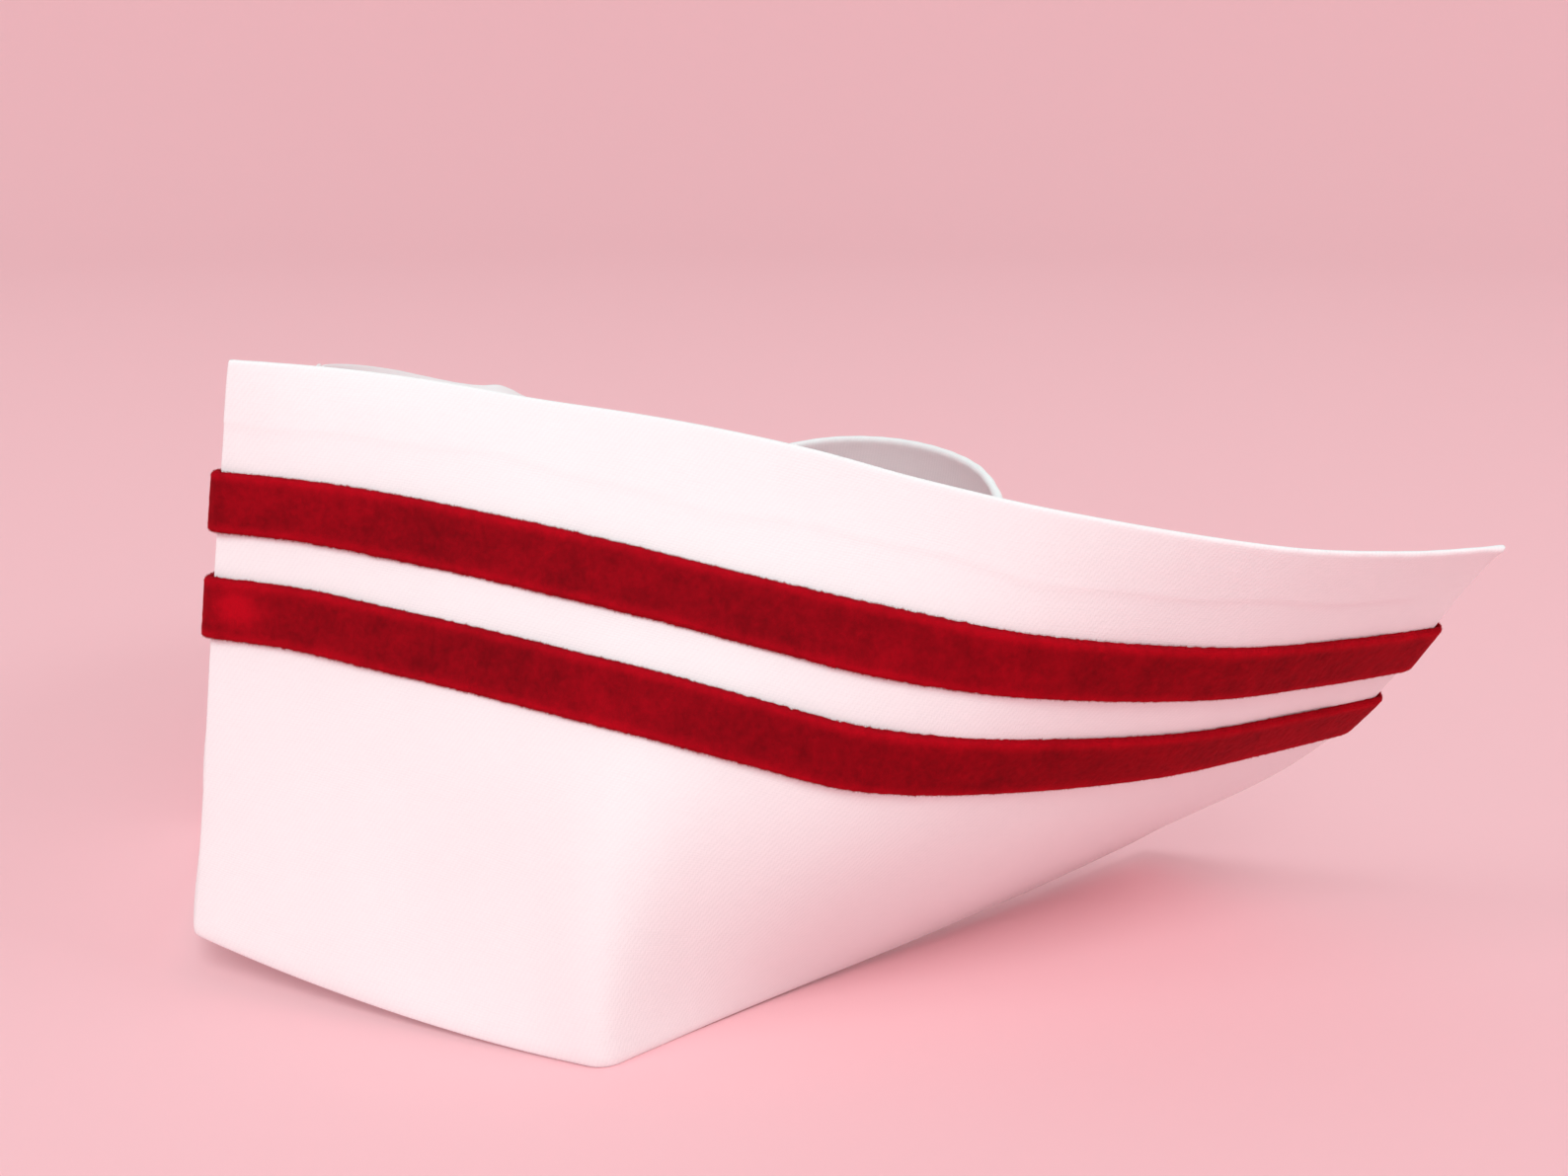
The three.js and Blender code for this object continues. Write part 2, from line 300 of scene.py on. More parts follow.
# %% [markdown]
# A material is a graph of nodes, and its sums read best as sums. The small class below wraps a
# socket so that plain arithmetic, with the number on either side, adds the Math nodes. Any other
# node comes from one method, which takes its kind, its settings and what goes into its sockets.
# Materials and Geometry Nodes trees are both such graphs.

# %% A pen for node graphs
class Wire:
    """A socket that can be added to, multiplied and so on."""

    def __init__(self, graph, socket):
        self.graph = graph
        self.socket = socket

    def sum(self, operation, *values):
        return self.graph.node("ShaderNodeMath", {"operation": operation}, list(values))

    def __add__(self, other):
        return self.sum("ADD", self, other)

    def __sub__(self, other):
        return self.sum("SUBTRACT", self, other)

    def __rsub__(self, other):
        return self.sum("SUBTRACT", other, self)

    def __mul__(self, other):
        return self.sum("MULTIPLY", self, other)

    __radd__ = __add__
    __rmul__ = __mul__

    def sine(self):
        return self.sum("SINE", self)

    def bell(self, middle, width):
        """1 at the middle, falling smoothly to nothing a few widths away."""
        off = (self - middle) * (1 / width)
        return self.sum("EXPONENT", off * off * -1.0)


class Graph:
    """A node tree."""

    def __init__(self, tree):
        self.nodes = tree.nodes
        self.links = tree.links

    def plug(self, socket, value):
        if isinstance(value, Wire):
            self.links.new(value.socket, socket)
        else:
            socket.default_value = value

    def node(self, kind, settings=None, values=(), output=0):
        """Adds a node; values is a list in socket order or a dictionary by socket name."""
        made = self.nodes.new(kind)
        for key, value in (settings or {}).items():
            setattr(made, key, value)
        pairs = values.items() if isinstance(values, dict) else enumerate(values)
        for key, value in pairs:
            self.plug(made.inputs[key], value)
        return Wire(self, made.outputs[output])


class Finish(Graph):
    """A material: fixed numbers are set on the shader, the rest is plugged in."""

    def __init__(self, name, **constants):
        self.material = bpy.data.materials.new(name)
        self.material.use_nodes = True
        super().__init__(self.material.node_tree)
        self.shader = self.nodes["Principled BSDF"]
        for socket, value in constants.items():
            self.shader.inputs[socket.replace("_", " ")].default_value = value

    def to(self, socket, wire):
        self.plug(self.shader.inputs[socket], wire)

    def noise(self, place, scale, detail, roughness=0.5):
        return self.node("ShaderNodeTexNoise", values={
            "Vector": place, "Scale": scale, "Detail": detail, "Roughness": roughness,
        })

    def blend(self, share, first, second):
        """A colour between two, by share."""
        kind = {"data_type": "RGBA"}
        return self.node("ShaderNodeMix", kind, {0: share, 6: first, 7: second}, output=2)

    def bump(self, height, strength, distance, under=None):
        """A normal from a height, on top of another normal."""
        values = {"Strength": strength, "Distance": distance, "Height": height}
        if under is not None:
            values["Normal"] = under
        return self.node("ShaderNodeBump", values=values)

    def chart(self):
        """The two coordinates of the piece's own map."""
        both = self.node("ShaderNodeUVMap", {"uv_map": "cloth"})
        return both, *(self.node("ShaderNodeSeparateXYZ", values=[both], output=i) for i in (0, 1))

    def place(self):
        """The object's own coordinates."""
        return self.node("ShaderNodeTexCoord", output=3)


# %% [markdown]
# The cotton is a fine twill. Its threads lie about a third of a millimetre apart, and where the
# weft passes over two warps each row steps one thread sideways, which gives the faint diagonal
# that shows in the light. The pattern reads the cloth's own map, in metres along and down the
# cloth, so that it turns with every fold. Colour stays almost even on the doubled starched cotton:
# the hollows between threads carry painted shade, a touch greyer, and random clouds and slubs.

# %% White cotton
THREAD = 0.36 * MM
TWILL_PITCH = 2.1 * THREAD
TWILL_SLOPE = 0.55
WEFT_SHARE = 0.3
WARP_SHARE = 0.2
TWILL_SHARE = 0.5
THREAD_WANDER = 0.9 * THREAD
WANDER_SCALE = 700.0
CLOUD_SCALE = 55.0
SLUB_SCALE = (300.0, 3600.0, 1.0)
WEAVE_DEPTH = 0.05 * MM
CLOUD_DEPTH = 0.5 * MM
TURN = 2 * np.pi


def weave_height(along, down):
    """Height of a fine twill over the cloth's map, from 0 to 1."""
    weft = (down * (TURN / THREAD)).sine()
    diagonal = ((along + down * TWILL_SLOPE) * (TURN / TWILL_PITCH)).sine()
    warp = (along * (TURN / THREAD)).sine()
    swing = weft * WEFT_SHARE + warp * WARP_SHARE + diagonal * TWILL_SHARE
    return swing * 0.5 + 0.5


def cotton_finish(name, lit, shaded):
    """Starched white cotton between two near whites, with painted shade in the hollows between
    threads.
    """
    finish = Finish(name, Roughness=0.88, Sheen_Weight=0.25, Sheen_Roughness=0.6)
    chart, along, down = finish.chart()
    cloud = finish.noise(finish.place(), CLOUD_SCALE, 4.0)
    jitter = (finish.noise(finish.place(), WANDER_SCALE, 2.0) - 0.5) * THREAD_WANDER
    weave = weave_height(along + jitter, down + jitter)
    stretched = finish.node("ShaderNodeMapping", values={"Vector": chart, "Scale": SLUB_SCALE})
    slub = finish.noise(stretched, 1.0, 2.0)
    # Painted shade: the weave's hollows take the greyer white; the clouds and slubs are random tone.
    tone = weave * 0.35 + cloud * 0.35 + slub * 0.35
    finish.to("Base Color", finish.blend(tone, shaded, lit))
    fine = finish.bump(weave + slub * 0.7, 0.6, WEAVE_DEPTH)
    finish.to("Normal", finish.bump(cloud, 0.35, CLOUD_DEPTH, under=fine))
    return finish.material


# The greyer white is painted shade in the thread hollows, and it also tints random clouds and slubs.
WHITE_LIT = (0.93, 0.925, 0.92, 1)
WHITE_SHADED = (0.8, 0.8, 0.81, 1)
white_cotton = cotton_finish("white_cotton", WHITE_LIT, WHITE_SHADED)

# %% [markdown]
# The cuff is doubled cloth, sewn inside out along the upper edge and the wing ends and then
# turned. The seam allowance stays inside and lifts a strip along those edges by a tenth of a
# millimetre, the stitches pucker the edge slightly, and the turned corners are bulky. The
# panel between is stiff, with only slow, shallow waves. The inner face shows the seam too, only
# more faintly.

# %% The cuff
CUFF_STEP_ALONG = 1.05
CUFF_STEP_DOWN = 1.35
CREASE_STEPS = [0, 0.25, 0.5, 0.8, 1.2, 1.7, 2.4]
SEAM_ALLOWANCE = 10.0
# wave length, height
SEAM_WANDER = [(9.0, 0.5), (3.7, 0.3)]
SEAM_STEP = 0.3
SEAM_LIFT = 0.11
RIDGE_WIDTH = 0.7
RIDGE_SHARE = 0.5
PUCKER = 0.07
PUCKER_LENGTH = 5.3
PUCKER_DRIFT = 1.3
PUCKER_DRIFT_OVER = 11.0
PUCKER_REACH = 3.0
EDGE_ROUND = 0.5
EDGE_ROLL = 0.03
ROLL_PLACE = 0.9
ROLL_WIDTH = 0.7
PRESSED_EDGE = 0.4
PRESSED_REACH = 2.5
FOLD_ROUND = 2.4
CORNER_BULK = 0.25
CORNER_BULK_REACH = 1.8
INNER_RELIEF = 0.6
# wave length along, wave length down, height, phase
SLOW_WAVES = [(74, 150, 0.2, 0.4), (41, 96, 0.1, 2.1), (26, 60, 0.04, 4.4)]
# how soon the waves die out towards a sewn edge and the fold, and the share of the distance
# to the crease that counts for this on each half
CALM_EDGE = 8
CALM_FOLD = 10
CALM_CREASE_LEFT = 0.15
CALM_CREASE_RIGHT = 0.5
# how soon the seam's relief dies out towards the fold
SEAM_TO_FOLD = 6


def edge_distance(signed, down):
    """Distance to the nearest sewn edge: the upper edge or a wing end."""
    end = CUFF_HALF_LENGTH - np.abs(signed)[:, None]
    return np.minimum(down[None, :], end)


def seam_relief(distance, run):
    """Lift of the strip along a sewn edge, with its ridge and puckers."""
    wander = SEAM_ALLOWANCE + sum(height * np.sin(run / length) for length, height in SEAM_WANDER)
    strip = 1 / (1 + np.exp((distance - wander) / SEAM_STEP))
    ridge = np.exp(-(((distance - wander) / RIDGE_WIDTH) ** 2))
    drift = PUCKER_DRIFT * np.sin(run / PUCKER_DRIFT_OVER)
    gathers = np.sin(TURN * run / PUCKER_LENGTH + drift) * np.exp(-distance / PUCKER_REACH)
    return SEAM_LIFT * (strip + RIDGE_SHARE * ridge) + PUCKER * gathers


def pressed(distance):
    """Share of the thickness near a sewn edge, which the iron has flattened."""
    return 1 - PRESSED_EDGE * np.exp(-distance / PRESSED_REACH)


def cloth_waves(signed, down):
    """Slow waves of the whole panel."""
    total = 0
    for along_length, down_length, height, phase in SLOW_WAVES:
        along_wave = np.sin(TURN * signed / along_length + phase)[:, None]
        down_wave = np.cos(TURN * down / down_length + 2 * phase)[None, :]
        total = total + height * along_wave * down_wave
    return total


def make_cuff():
    """The turned-up band with its seam, crease and wing ends."""
    half = spaced(CUFF_HALF_LENGTH, CUFF_STEP_ALONG, start=CREASE_STEPS)
    signed = np.concatenate([-half[:0:-1], half])
    down = spaced(CUFF_HEIGHT, CUFF_STEP_DOWN, extra=[SEAM_ALLOWANCE])
    face = cuff_face(signed, down)
    out = outward(face)
    distance = edge_distance(signed, down)
    fold = (CUFF_HEIGHT - down)[None, :]
    edge = rounded_edge(distance, EDGE_ROUND)
    body = edge * pressed(distance) * rounded_edge(fold, FOLD_ROUND)
    roll = EDGE_ROLL * np.exp(-(((distance - ROLL_PLACE) / ROLL_WIDTH) ** 2)) * body
    run = np.broadcast_to(signed[:, None], distance.shape)
    corner = np.hypot(CUFF_HALF_LENGTH - np.abs(signed)[:, None], down[None, :])
    bulk = CORNER_BULK * np.exp(-((corner / CORNER_BULK_REACH) ** 2)) * body
    relief = seam_relief(distance, run) * body * (1 - np.exp(-fold / SEAM_TO_FOLD))
    to_crease = np.where(signed < 0, -CALM_CREASE_LEFT, CALM_CREASE_RIGHT) * signed
    calm = 1 - np.exp(-np.minimum(distance, to_crease[:, None]) / CALM_EDGE)
    waves = cloth_waves(signed, down) * calm * (1 - np.exp(-fold / CALM_FOLD))
    middle = face - out * CLOTH / 2
    front = body * CLOTH / 2 + roll + bulk + relief + waves
    rear = -body * CLOTH / 2 - roll - bulk - relief * INNER_RELIEF + waves
    return wall(
        "cuff_cloth",
        middle + out * front[..., None],
        middle + out * rear[..., None],
        stacked(run, np.broadcast_to(down[None, :], distance.shape)),
        white_cotton,
    )


cuff_cloth = make_cuff()
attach(cuff_cloth, "root")
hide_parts("cuff")

# %% [markdown]
# The crown wall starts in a point behind each front corner and rises towards the back, where it
# leans in over the head. It is drawn by its foot and its rim, with a slight outward bow between
# them. Beside the cuff its foot rises a few millimetres with the fold line, so it stays hidden.
# Its rim is a sewn edge like the cuff's. Here the seam shows more on the inside.

# %% The crown
CROWN_BOW = 3.0
CROWN_BACK_UP = 67.4
CROWN_ROLL = 0.2
CROWN_ROLL_WIDTH = 0.9
CROWN_ROUND = 0.8
CROWN_SEAM_TO_FOOT = 4
CROWN_OUTER_RELIEF = 0.6
CROWN_WAVE = 0.14
CROWN_WAVE_LENGTH = 47
CROWN_WAVE_PHASE = 0.6
# the grid's steps: in rows of the table along the wall, in shares of its height up the wall
CROWN_STEP_ALONG = 0.035
CROWN_STEP_UP = 0.022
CROWN_MIDDLE_STEPS = [0, 0.02]
CROWN_END_STEPS = [0, 0.004, 0.012, 0.025, 0.05]
SHARE_STEPS = [0, 0.002, 0.006, 0.013, 0.024]
A_LITTLE_ALONG = 0.05

# foot across, back, up | rim across, back, up, from the front end to the middle of the back
CROWN_SECTIONS = np.array([
    [62.5, 46, 0, 61.5, 47, 8],
    [61, 80, 0.6, 57, 82, 27],
    [61.2, 115, 1.7, 53.5, 117, 44.5],
    [60.5, 142, 3.1, 48, 140.5, 56.2],
    [52.5, 163, 2.8, 36, 152, 61.3],
    [32.5, 176.5, 0.6, 20, 161.5, 65.9],
    [0, 181, 0, 0, 164.5, 67.4],
])


def crown_row(key):
    """The crown's section at a place between rows, counted from the front end."""
    past_middle = CROWN_SECTIONS[-2] * [-1, 1, 1, -1, 1, 1]
    rows = np.vstack([CROWN_SECTIONS, past_middle])
    return rows_at(np.column_stack([np.arange(len(rows)), rows]), key)[:, 1:]


def crown_face(key, share):
    """Outer face of the right half: key from the front end, share from the foot to the rim."""
    last = len(CROWN_SECTIONS) - 1
    row = crown_row(key)
    foot = row[:, :3]
    rise = row[:, 3:] - foot
    ahead = crown_row(np.minimum(key + A_LITTLE_ALONG, last))
    run = ahead - crown_row(np.maximum(key - A_LITTLE_ALONG, 0))
    side = unit(stacked(run[:, 1], -run[:, 0], np.zeros(len(key))))
    bow = CROWN_BOW * row[:, 5, None] / CROWN_BACK_UP * 4 * share * (1 - share)
    points = foot[:, None] + rise[:, None] * share[None, :, None] + side[:, None] * bow[..., None]
    points[..., 1] -= DEPTH_MIDDLE
    return points


def make_crown():
    """The wall from one front end round the back to the other."""
    last = len(CROWN_SECTIONS) - 1
    keys = last - spaced(last, CROWN_STEP_ALONG, start=CROWN_MIDDLE_STEPS, end=CROWN_END_STEPS)
    share = spaced(1.0, CROWN_STEP_UP, start=SHARE_STEPS, end=SHARE_STEPS)[::-1]
    half = crown_face(keys, share)
    mirrored = half[:0:-1] * np.array([-1, 1, 1])
    face = np.concatenate([mirrored, half])
    out = outward(face)
    steps = np.linalg.norm(np.diff(face, axis=0), axis=-1)
    run = np.concatenate([np.zeros((1, len(share))), np.cumsum(steps, axis=0)])
    run = run - run[len(run) // 2]
    fall = np.linalg.norm(np.diff(face, axis=1), axis=-1)
    down = np.concatenate([np.zeros((len(face), 1)), np.cumsum(fall, axis=1)], axis=1)
    foot = down[:, -1:] - down
    end = np.minimum(run - run[:1], run[-1:] - run)
    body = 1
    for distance in (down, foot, end):
        body = body * rounded_edge(distance, CROWN_ROUND)
    roll = CROWN_ROLL * np.exp(-(((down - ROLL_PLACE) / CROWN_ROLL_WIDTH) ** 2)) * body
    relief = seam_relief(down, run) * body * (1 - np.exp(-foot / CROWN_SEAM_TO_FOOT))
    swing = np.sin(TURN * run / CROWN_WAVE_LENGTH + CROWN_WAVE_PHASE)
    waves = CROWN_WAVE * swing * np.sin(np.pi * down / down[:, -1:])
    middle = face - out * CLOTH / 2
    front = body * CLOTH / 2 + (roll + relief) * CROWN_OUTER_RELIEF + waves
    rear = -body * CLOTH / 2 - roll - relief + waves
    return wall(
        "crown_cloth",
        middle + out * front[..., None],
        middle + out * rear[..., None],
        stacked(run, down),
        white_cotton,
    )


crown_cloth = make_crown()
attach(crown_cloth, "root")
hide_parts("crown")

# %% [markdown]
# Velvet is a woven tape with a dense upright pile. Seen from above the pile swallows light, and
# from the side its flanks shine, so the flat of each ribbon is a deep red and its rounded edges
# glow. Sheen in the shader gives that at every angle, and a painted highlight adds to it: the
# ribbon's own map brightens the colour along both edges. It is clouded where the pile leans
# different ways, and rubbed bright beside the crease, most of all on the lower ribbon.

# %% Red velvet
RIBBON_WIDTH = 9.5
RED_DEEP = (0.16, 0.0007, 0.004, 1)
RED_BRIGHT = (0.43, 0.001, 0.009, 1)
RED_SHEEN = (1.0, 0.02, 0.05, 1)
PILE_SHINE = {
    "Roughness": 0.9,
    "Specular_IOR_Level": 0.08,
    "Sheen_Weight": 0.45,
    "Sheen_Roughness": 0.35,
    "Sheen_Tint": RED_SHEEN,
}
# Where the painted highlight lies along each edge of a ribbon, and how wide it is.
PAINTED_HIGHLIGHT_IN = 0.5 * MM
UPPER_PAINTED_HIGHLIGHT_WIDTH = 0.85 * MM
LOWER_PAINTED_HIGHLIGHT_WIDTH = 0.9 * MM
RUB_ALONG = 4.6 * MM
RUB_DOWN = 4.2 * MM
RUB_LENGTH = 3.4 * MM
RUB_HEIGHT = 2.6 * MM
NAP_SCALE = 900.0
TUFT_SCALE = 260.0
LEAN_SCALE = 60.0
PILE_DEPTH = 0.2 * MM


def velvet_finish(name, rub):
    """Short red pile; rub is how strongly the crease has brushed it."""
    finish = Finish(name, **PILE_SHINE)
    path, width = finish.chart()[1:]
    place = finish.place()
    # Painted highlight: the colour is brighter along both edges, where the pile's flanks catch the
    # light.
    upper = width.bell(PAINTED_HIGHLIGHT_IN, UPPER_PAINTED_HIGHLIGHT_WIDTH)
    lower = width.bell(RIBBON_WIDTH * MM - PAINTED_HIGHLIGHT_IN, LOWER_PAINTED_HIGHLIGHT_WIDTH)
    nap = finish.noise(place, NAP_SCALE, 4.0, 0.6)
    tufts = finish.noise(place, TUFT_SCALE, 3.0)
    lean = finish.noise(place, LEAN_SCALE, 3.0)
    rubbed = path.bell(RUB_ALONG, RUB_LENGTH) * width.bell(RUB_DOWN, RUB_HEIGHT) * rub
    clouds = (nap - 0.5) * 0.7 + (tufts - 0.5) * 0.6 + (lean - 0.5) * 0.55
    tone = upper * 0.55 + lower * 0.45 + rubbed + clouds + 0.25
    finish.to("Base Color", finish.blend(tone, RED_DEEP, RED_BRIGHT))
    finish.to("Normal", finish.bump(nap + tufts * 0.6, 0.8, PILE_DEPTH))
    return finish.material


red_velvet = {
    "upper_ribbon": velvet_finish("red_velvet", 0.25),
    "lower_ribbon": velvet_finish("red_velvet_rubbed", 0.9),
}

# %% [markdown]
# Each ribbon lies on the cuff, passes over the crease a little proud of the cloth, turns round
# the wing end and is caught down on the inner face. One number, the path along the ribbon,
# covers all three stretches: beyond the wing end the cloth's outward direction is swung
# through half a turn. The pile stands on a flat tape and is rounded off at the edges.

# %% The ribbons
RIBBON_LIFT = 0.12
RIBBON_PILE = 0.95
RIBBON_TAIL = 12.0
RIBBON_BRIDGE = 0.35
BRIDGE_REACH = 3.5
PILE_ROUND = 0.6
PILE_STEPS = [0, 0.03, 0.1, 0.22, 0.4, 0.62]
PILE_STEP_ACROSS = 0.9
NEAR_CREASE = 6
STEP_NEAR_CREASE = 0.3
STEP_OVER_FACE = 0.45
STEP_OVER_TAIL = 1.0
PLACES_ROUND_END = 9
PILE_RAGGED = 0.02
TURN_FLATTENS = 0.35
TURN_FLATTENS_REACH = 1.5
PICOT = 0.05
PICOT_REACH = 0.5
FUZZ_BAND = 0.45
A_LITTLE = 0.4
UPPER_RIBBON_DOWN = 18.0
LOWER_RIBBON_DOWN = 34.5
RIBBON_TURN = np.pi * (CLOTH / 2 + RIBBON_LIFT)


def ribbon_frame(path, down):
    """Middle of the cloth, outward and endward directions for a ribbon's path."""
    reach = np.abs(path) - CUFF_HALF_LENGTH
    tail = np.maximum(0, reach - RIBBON_TURN)
    along = np.minimum(np.abs(path), CUFF_HALF_LENGTH) - tail
    side = np.where(path < 0, -1.0, 1.0)
    signed = side * along
    ahead = cuff_face(np.clip(signed + A_LITTLE, -CUFF_HALF_LENGTH, CUFF_HALF_LENGTH), down)
    behind = cuff_face(np.clip(signed - A_LITTLE, -CUFF_HALF_LENGTH, CUFF_HALF_LENGTH), down)
    tangent = unit(ahead - behind)
    drop = unit(cuff_face(signed, down + A_LITTLE) - cuff_face(signed, down - A_LITTLE))
    out = unit(np.cross(drop, tangent))
    middle = cuff_face(signed, down) - out * CLOTH / 2
    return middle, out, tangent * side[:, None, None], np.clip(reach / RIBBON_TURN, 0, 1)


def ribbon_surface(path, down, lift):
    """Points a given lift above the cloth along a ribbon's path."""
    middle, out, endward, turned = ribbon_frame(path, down)
    angle = np.pi * turned[:, None, None]
    heading = out * np.cos(angle) + endward * np.sin(angle)
    bridge = RIBBON_BRIDGE * np.exp(-((path / BRIDGE_REACH) ** 2))[:, None]
    return middle + heading * (CLOTH / 2 + lift + bridge)[..., None]


def make_ribbon(name, first_down):
    """One velvet ribbon from tail to tail."""
    face_end = CUFF_HALF_LENGTH
    tail_end = face_end + RIBBON_TURN + RIBBON_TAIL
    near_crease = np.arange(0, NEAR_CREASE, STEP_NEAR_CREASE)
    over_face = np.arange(NEAR_CREASE, face_end, STEP_OVER_FACE)
    round_end = np.linspace(face_end, face_end + RIBBON_TURN, PLACES_ROUND_END)
    tail = tail_end - round_end[-1]
    over_tail = spaced(tail, STEP_OVER_TAIL, start=[STEP_OVER_TAIL]) + round_end[-1]
    half = np.concatenate([near_crease, over_face, round_end, over_tail])
    path = np.concatenate([-half[:0:-1], half])
    place = spaced(RIBBON_WIDTH, PILE_STEP_ACROSS, start=PILE_STEPS, end=PILE_STEPS)
    end = (tail_end - np.abs(path))[:, None]
    edge = np.minimum(place, RIBBON_WIDTH - place)[None, :]
    body = rounded_edge(edge, PILE_ROUND) * rounded_edge(end, PILE_ROUND)
    generator = np.random.default_rng(len(name) + int(first_down))
    ragged = generator.normal(0, PILE_RAGGED, body.shape) * body
    from_turn = (np.abs(path) - face_end - RIBBON_TURN / 2) / TURN_FLATTENS_REACH
    creased = 1 - TURN_FLATTENS * np.exp(-(from_turn**2))
    picot = generator.normal(0, PICOT, (len(path), 2))
    near = np.exp(-stacked(place, RIBBON_WIDTH - place) / PICOT_REACH)
    rows = first_down + place + picot[:, :1] * near[:, 0] + picot[:, 1:] * near[:, 1]
    low = np.full(body.shape, RIBBON_LIFT)
    high = RIBBON_LIFT + RIBBON_PILE * body * creased[:, None] + ragged
    chart = stacked(
        np.broadcast_to(path[:, None], body.shape), np.broadcast_to(place[None, :], body.shape)
    )
    face = ribbon_surface(path, rows, high)
    tape = ribbon_surface(path, rows, low)
    velvet = wall(name + "_velvet", face, tape, chart, red_velvet[name])
    return velvet, face, np.broadcast_to(np.exp(-edge / FUZZ_BAND), body.shape)


ribbons = {}
pile_faces = {}
for name, first_down in [("upper_ribbon", UPPER_RIBBON_DOWN), ("lower_ribbon", LOWER_RIBBON_DOWN)]:
    ribbons[name], *pile_faces[name] = make_ribbon(name, first_down)
    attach(ribbons[name], "root")
    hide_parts(name)

# %% [markdown]
# Along its edges the pile has nothing to lean on and its hairs fan out, which gives velvet its
# soft outline. So many hairs on one surface are work for Geometry Nodes: points are scattered
# over the face of the pile, thickly near the edges and thinly between, and each gets a slender
# cone that stands on the surface and leans a little at random.

# %% A tree that grows fuzz
FUZZ = {
    "Hairs": 30e6,
    "Length": 0.42 * MM,
    "Width": 0.07 * MM,
    "Lean": 0.7,
    "Seed": 7,
}
FUZZ_BETWEEN = 0.12


class Growth(Graph):
    """A Geometry Nodes tree with named inputs, which ends in real geometry."""

    def __init__(self, name, inputs):
        self.tree = bpy.data.node_groups.new(name, "GeometryNodeTree")
        super().__init__(self.tree)
        sockets = {"Surface": "Geometry", **inputs}
        for title, kind in sockets.items():
            self.tree.interface.new_socket(title, in_out="INPUT", socket_type="NodeSocket" + kind)
        self.tree.interface.new_socket("Grown", in_out="OUTPUT", socket_type="NodeSocketGeometry")
        given = self.nodes.new("NodeGroupInput").outputs
        self.given = {title: Wire(self, given[title]) for title in sockets}

    def end(self, instances, material):
        real = self.node("GeometryNodeRealizeInstances", values=[instances])
        dressed = self.node(
            "GeometryNodeSetMaterial", values={"Geometry": real, "Material": material}
        )
        self.plug(self.nodes.new("NodeGroupOutput").inputs["Grown"], dressed)

    def grow(self, name, carrier, values):
        """A plain mesh object from the tree run on a carrier, which is then removed."""
        modifier = carrier.modifiers.new("growth", "NODES")
        modifier.node_group = self.tree
        for item in self.tree.interface.items_tree:
            if item.name in values:
                modifier[item.identifier] = values[item.name]
        ready = carrier.evaluated_get(bpy.context.evaluated_depsgraph_get())
        mesh = bpy.data.meshes.new_from_object(ready)
        mesh.name = name
        bpy.data.objects.remove(carrier)
        piece = placed(name, mesh)
        count_triangles(piece)
        return piece


def fuzz_growth():
    """Hairs that stand on a surface, by its edge attribute."""
    growth = Growth("fuzz", {
        "Hairs": "Float", "Length": "Float", "Width": "Float",
        "Lean": "Float", "Seed": "Int", "Finish": "Material",
    })
    given = growth.given
    share = growth.node(
        "GeometryNodeInputNamedAttribute", {"data_type": "FLOAT"}, {"Name": "edge"}
    )
    scatter = growth.node(
        "GeometryNodeDistributePointsOnFaces",
        {"distribute_method": "RANDOM"},
        {
            "Mesh": given["Surface"],
            "Density": given["Hairs"] * (share + FUZZ_BETWEEN),
            "Seed": given["Seed"],
        },
    )
    upright = Wire(growth, scatter.socket.node.outputs["Rotation"])
    tilt = growth.node(
        "FunctionNodeRandomValue",
        {"data_type": "FLOAT_VECTOR"},
        {0: (-1.0, -1.0, 0.0), 1: (1.0, 1.0, 0.0), "Seed": given["Seed"]},
    )
    tilt = growth.node(
        "ShaderNodeVectorMath", {"operation": "SCALE"}, {"Vector": tilt, "Scale": given["Lean"]}
    )
    tilt = growth.node("FunctionNodeEulerToRotation", values=[tilt])
    leaning = growth.node(
        "FunctionNodeRotateRotation",
        {"rotation_space": "LOCAL"},
        {"Rotation": upright, "Rotate By": tilt},
    )
    size = growth.node(
        "FunctionNodeRandomValue", {"data_type": "FLOAT"}, {2: 0.5, 3: 1.0}, output=1
    )
    hair = growth.node("GeometryNodeMeshCone", {"fill_type": "NGON"}, {
        "Vertices": 3, "Radius Top": 0.0, "Radius Bottom": given["Width"] * 0.5,
        "Depth": given["Length"],
    })
    hairs = growth.node("GeometryNodeInstanceOnPoints", values={
        "Points": scatter, "Instance": hair, "Rotation": leaning,
        "Scale": size * (share * 0.5 + 0.5),
    })
    growth.end(hairs, given["Finish"])
    return growth


# %% The fuzz
HAIR_SCALE = 1500.0

fuzz_finish = Finish("red_fuzz", **PILE_SHINE)
hair_tone = fuzz_finish.noise(fuzz_finish.place(), HAIR_SCALE, 2.0)
fuzz_finish.to("Base Color", fuzz_finish.blend(hair_tone * 1.2, RED_DEEP, RED_BRIGHT))

fuzz = fuzz_growth()
for name, (face, edge) in pile_faces.items():
    mesh = bpy.data.meshes.new(name + "_pile")
    points = (face * MM).reshape(-1, 3)
    mesh.from_pydata(points.tolist(), [], grid_faces(*face.shape[:2]).tolist())
    mesh.attributes.new("edge", "FLOAT", "POINT").data.foreach_set("value", edge.ravel())
    carrier = placed(name + "_pile", mesh)
    piece = fuzz.grow(name + "_fuzz", carrier, {**FUZZ, "Finish": fuzz_finish.material})
    ribbons[piece.name] = piece
    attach(piece, "root")

# %% [markdown]
# The stage is a plain pale sheet of paper that curves up a long way off, so that there is no
# horizon line from any side. Its blush gives the shaded flanks of the white cloth the warm
# light they have on a coloured table.

# %% The stage
# in metres: rings on the flat floor, the radius of its rim and of the curve that rises from it
FLOOR_RINGS = [0.0, 0.3, 0.8]
FLOOR_RADIUS = 1.5
BOWL_RADIUS = 2.2
BOWL_STEPS = 24
STEPS_AROUND = 96
SAME_PLACE_ON_FLOOR = 1e-6
FLOOR_COLOUR = (0.94, 0.52, 0.56, 1)


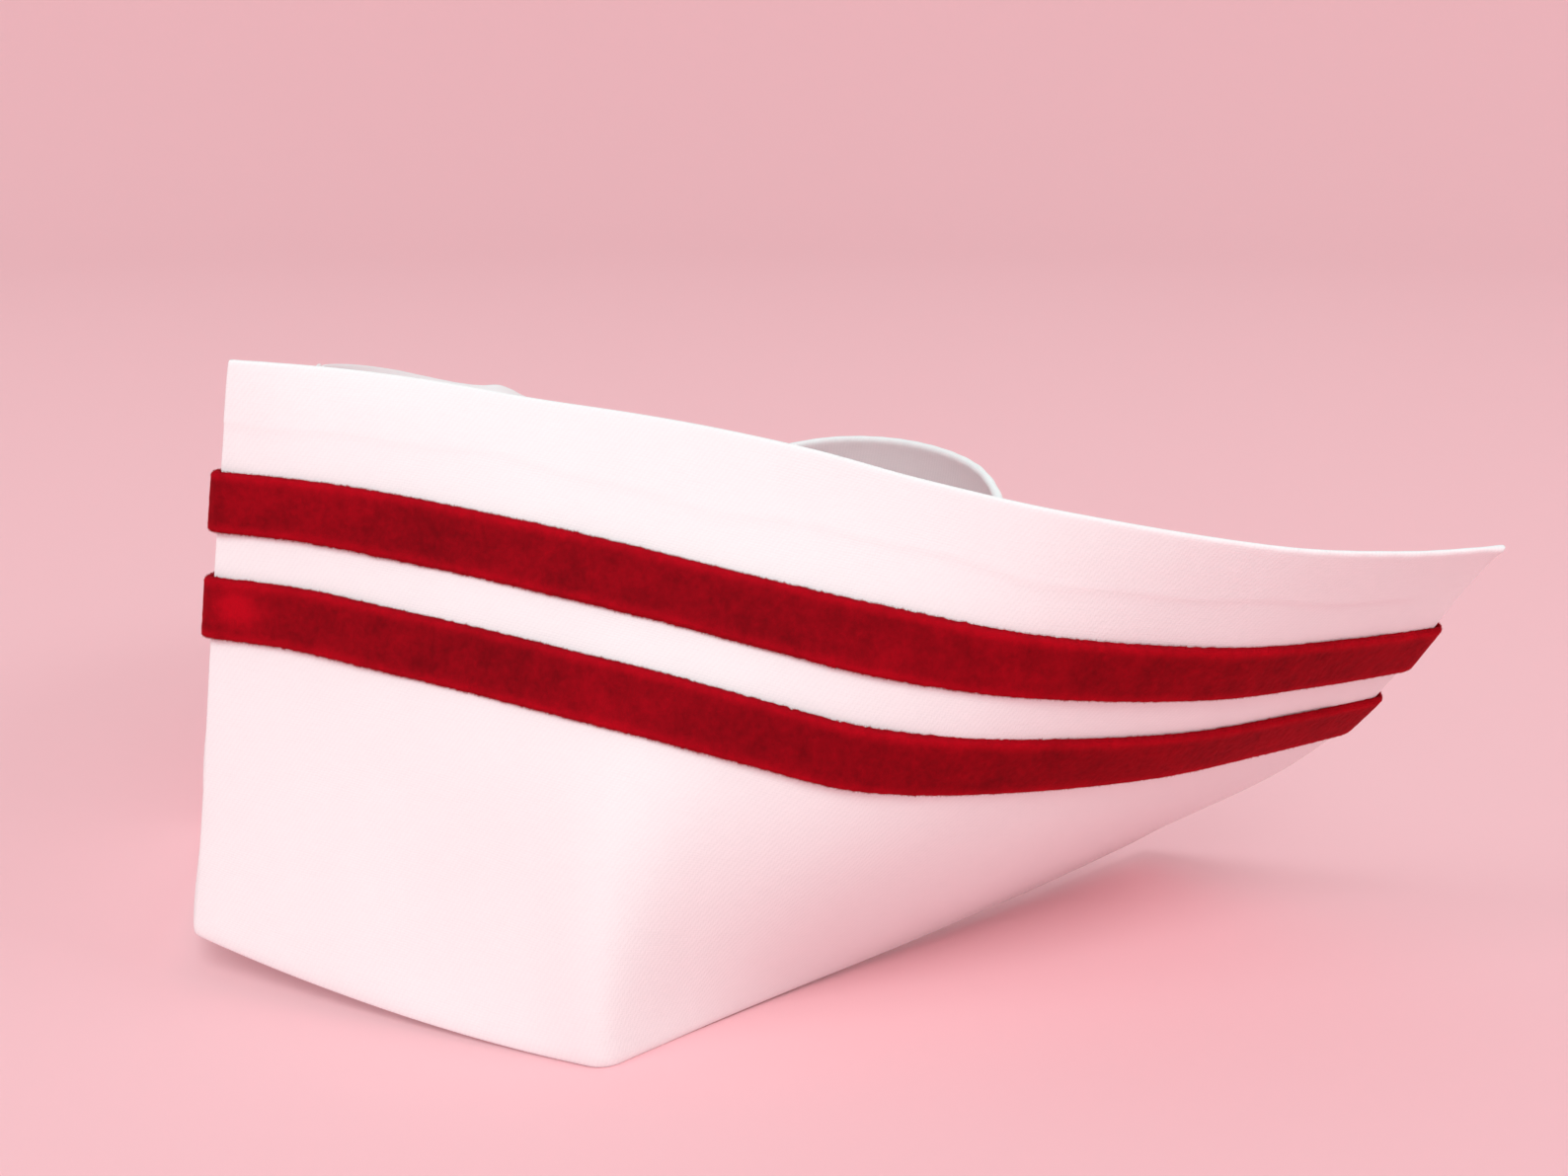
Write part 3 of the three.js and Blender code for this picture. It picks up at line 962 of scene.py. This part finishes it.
def make_stage():
    """A round floor whose rim curves up into a wall."""
    angles = np.linspace(0, np.pi / 2, BOWL_STEPS + 1)
    profile = [(radius, 0.0) for radius in FLOOR_RINGS]
    profile += [
        (FLOOR_RADIUS + BOWL_RADIUS * np.sin(a), BOWL_RADIUS * (1 - np.cos(a))) for a in angles
    ]
    around = np.linspace(0, TURN, STEPS_AROUND + 1)
    points = [
        (radius * np.cos(a), radius * np.sin(a), up) for a in around for radius, up in profile
    ]
    faces = grid_faces(len(around), len(profile), flip=True)
    mesh = bpy.data.meshes.new("stage")
    mesh.from_pydata(points, [], faces.tolist())
    weld(mesh, SAME_PLACE_ON_FLOOR)
    paper = Finish("pale_paper", Roughness=0.95, Base_Color=FLOOR_COLOUR)
    mesh.materials.append(paper.material)
    return placed("stage", mesh)


make_stage()

# %% [markdown]
# The light is soft: a wide lamp high behind the camera, a lower one on each side of the cap, and
# pale surroundings that fill the shadows. All of it is a touch cool, because the paper throws
# warm light back up at the cap.

# %% The lights
# name | across, back, up in metres | width in metres | power in watts
LAMPS = [
    ("key", (2.74, -2.34, 3.8), 2.8, 119.0),
    ("left", (-0.2, -3.98, 3.4), 2.4, 42.0),
    ("right", (3.3, 2.6, 3.2), 2.4, 33.0),
]
LAMP_COLOUR = (0.82, 1.0, 0.99)
LAMP_AIM = Vector((0.0, 0.0, 0.05))
AIR_COLOUR = (0.86, 1.0, 0.99, 1)
AIR_STRENGTH = 0.585

for name, place, size, power in LAMPS:
    lamp = bpy.data.lights.new(name, "AREA")
    lamp.shape = "DISK"
    lamp.size = size
    lamp.energy = power
    lamp.color = LAMP_COLOUR
    held = placed(name, lamp)
    held.location = place
    held.rotation_euler = (LAMP_AIM - held.location).to_track_quat("-Z", "Y").to_euler()

surroundings = bpy.data.worlds.new("surroundings")
surroundings.use_nodes = True
air = surroundings.node_tree.nodes["Background"]
air.inputs["Color"].default_value = AIR_COLOUR
air.inputs["Strength"].default_value = AIR_STRENGTH
bpy.context.scene.world = surroundings
bpy.context.scene.view_settings.view_transform = "Standard"
